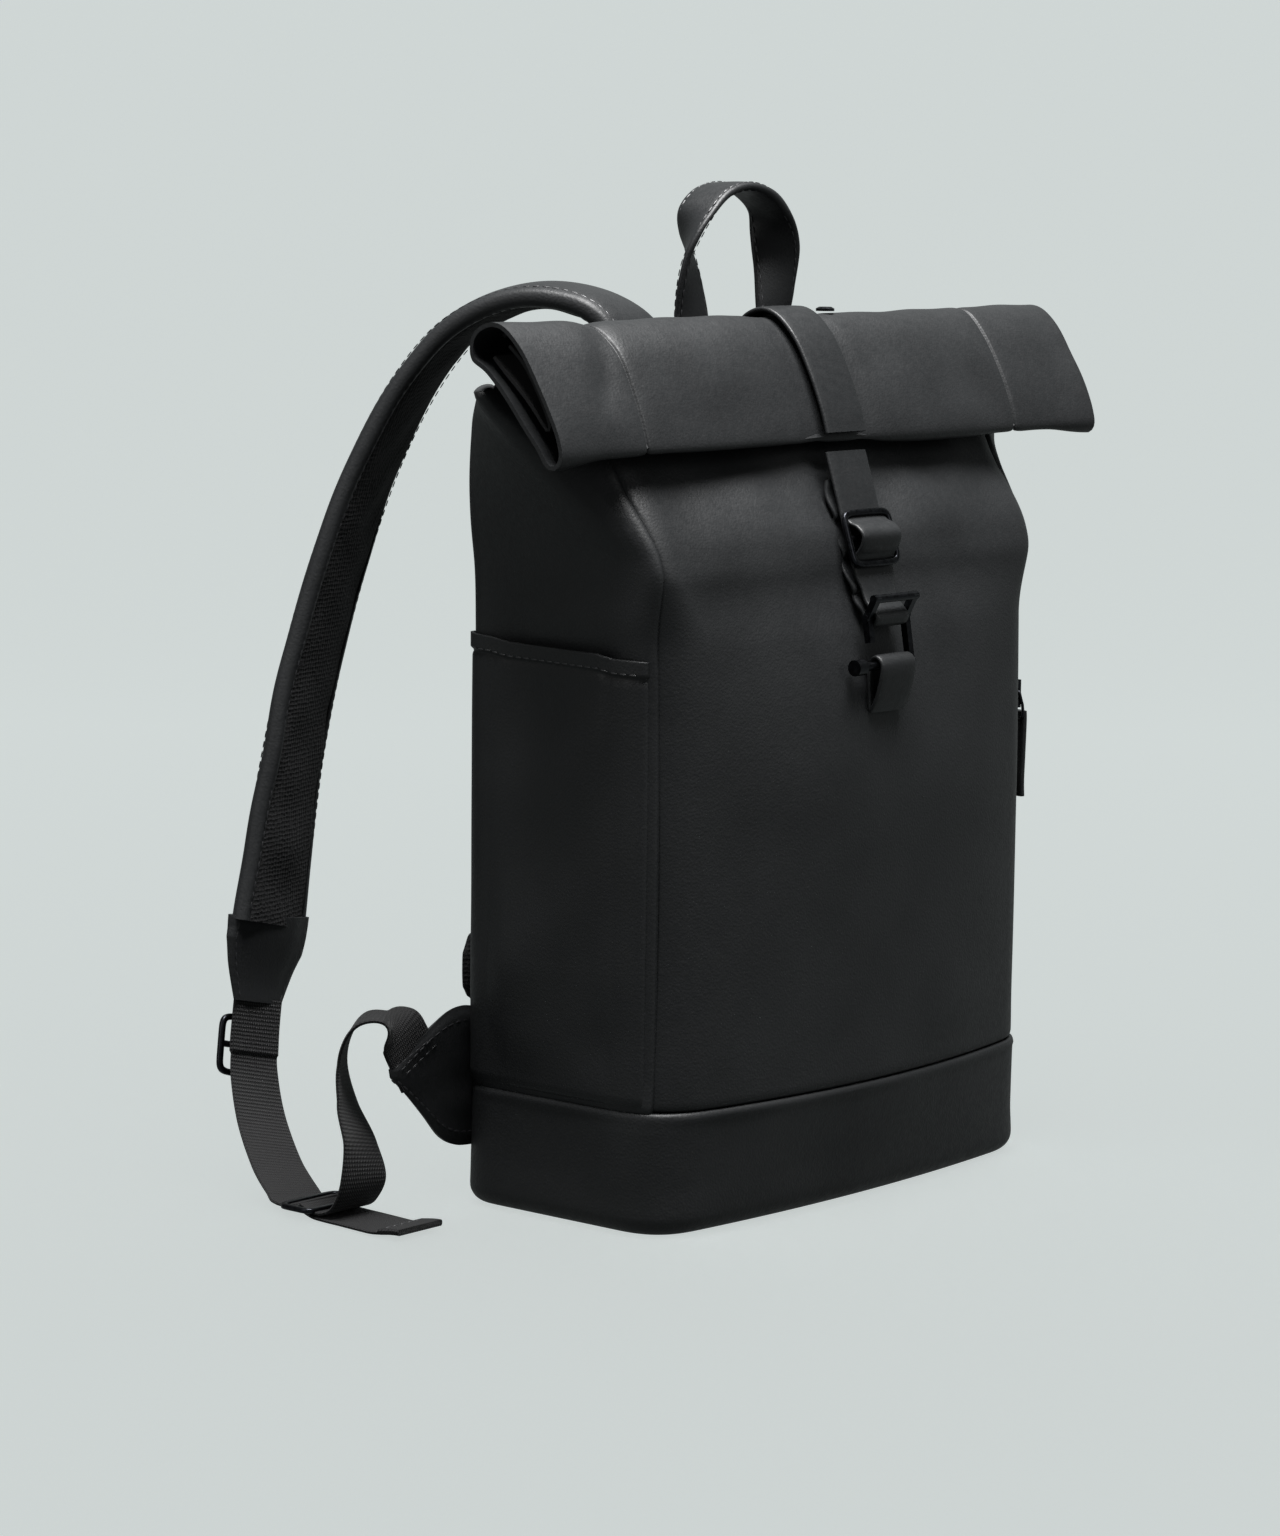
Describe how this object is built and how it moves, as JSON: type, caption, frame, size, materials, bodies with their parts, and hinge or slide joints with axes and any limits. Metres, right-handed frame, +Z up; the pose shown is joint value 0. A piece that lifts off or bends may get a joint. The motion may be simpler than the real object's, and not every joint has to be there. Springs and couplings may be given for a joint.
{
  "type": "roll-top backpack",
  "caption": "Upright leather roll-top backpack with a stiff base, strap and hook closure, carry handle, side pocket, side zip and padded shoulder straps.",
  "frame": {"origin": "middle of the base, on the floor the bag stands on", "axes": "+X to the right seen from the front, +Y to the back (the side worn against the wearer), +Z up"},
  "size_m": [0.4482, 0.2714, 0.481],
  "materials": {
    "leather": "matte fine-grained black leather",
    "lining_cloth": "black woven lining",
    "mesh_cloth": "black spacer mesh over foam",
    "webbing": "black woven webbing",
    "dark_metal": "satin black plated metal",
    "zip_pull": "satin black metal with a leather tab",
    "board": "black stiffening board"
  },
  "bodies": {
    "bag": {"base_cover": "leather", "base_board": "board", "front_panel": "leather", "left_side_panel": "leather", "right_side_panel": "leather", "back_panel": "leather", "lining": "lining_cloth", "laptop_sleeve": "lining_cloth", "inner_pocket": "lining_cloth", "left_side_pocket": "leather", "zip_tape": "webbing", "yoke": "leather", "left_back_pad": "mesh_cloth", "right_back_pad": "mesh_cloth", "lumbar_pad": "mesh_cloth", "luggage_strap": "webbing", "left_wing": "leather", "right_wing": "leather", "closure_anchor": "leather", "keeper_tab": "leather"},
    "roll_top": {"roll_outer": "leather", "roll_inner": "lining_cloth", "mouth_stiffener": "board", "closure_strap_top": "leather", "roll_rivet": "dark_metal"},
    "hanging_strap": {"closure_strap": "leather"},
    "slider": {"closure_slider": "dark_metal", "slider_loop": "leather"},
    "hook": {"closure_hook": "dark_metal"},
    "carry_handle": {"handle": "leather"},
    "left_shoulder_strap": {"left_strap_leather": "leather", "left_strap_padding": "mesh_cloth", "left_strap_tip": "leather", "left_adjuster": "dark_metal", "left_webbing_upper": "webbing", "left_triglide": "dark_metal", "left_webbing_lower": "webbing", "left_webbing_tail": "webbing"},
    "right_shoulder_strap": {"right_strap_leather": "leather", "right_strap_padding": "mesh_cloth", "right_strap_tip": "leather", "right_adjuster": "dark_metal", "right_webbing_upper": "webbing", "right_triglide": "dark_metal", "right_webbing_lower": "webbing", "right_webbing_tail": "webbing"},
    "zip_runner": {"zip_slider": "dark_metal"},
    "zip_tab": {"zip_pull": "zip_pull"}
  },
  "joints": [
    {"name": "roll_open", "type": "hinge", "parent": "bag", "child": "roll_top", "pos_m": [0, 0.002, 0.3995], "axis": [-1, 0, 0], "range_deg": [0, 55], "deforming": ["keeper_tab"]},
    {"name": "strap_lift", "type": "hinge", "parent": "roll_top", "child": "hanging_strap", "pos_m": [0, -0.053, 0.357], "axis": [-1, 0, 0], "range_deg": [0, 70]},
    {"name": "slider_adjust", "type": "slide", "parent": "hanging_strap", "child": "slider", "axis": [0, 0.309, 0.9511], "range_m": [-0.006, 0.012]},
    {"name": "hook_pivot", "type": "hinge", "parent": "hanging_strap", "child": "hook", "pos_m": [0, -0.07834, 0.27901], "axis": [-1, 0, 0], "range_deg": [0, 35]},
    {"name": "handle_swing", "type": "hinge", "parent": "bag", "child": "carry_handle", "pos_m": [0, 0.018, 0.397], "axis": [-1, 0, 0], "range_deg": [-18, 18], "stiffness_Nm_per_rad": 0.3},
    {"name": "left_strap_swing", "type": "hinge", "parent": "bag", "child": "left_shoulder_strap", "pos_m": [-0.048, 0.033, 0.391], "axis": [-0.3859, 0.0795, -0.9191], "range_deg": [-4, 12], "stiffness_Nm_per_rad": 4},
    {"name": "right_strap_swing", "type": "hinge", "parent": "bag", "child": "right_shoulder_strap", "pos_m": [0.05, 0.033, 0.391], "axis": [0.3809, 0.0797, -0.9212], "range_deg": [-12, 4], "stiffness_Nm_per_rad": 4},
    {"name": "zip_slide", "type": "slide", "parent": "bag", "child": "zip_runner", "axis": [0, 0, 1], "range_m": [-0.14, 0.002]},
    {"name": "zip_pull_swing", "type": "hinge", "parent": "zip_runner", "child": "zip_tab", "pos_m": [0.1496, -0.04568, 0.229], "axis": [-0.342, -0.9397, 0], "range_deg": [0, 110]}
  ]
}
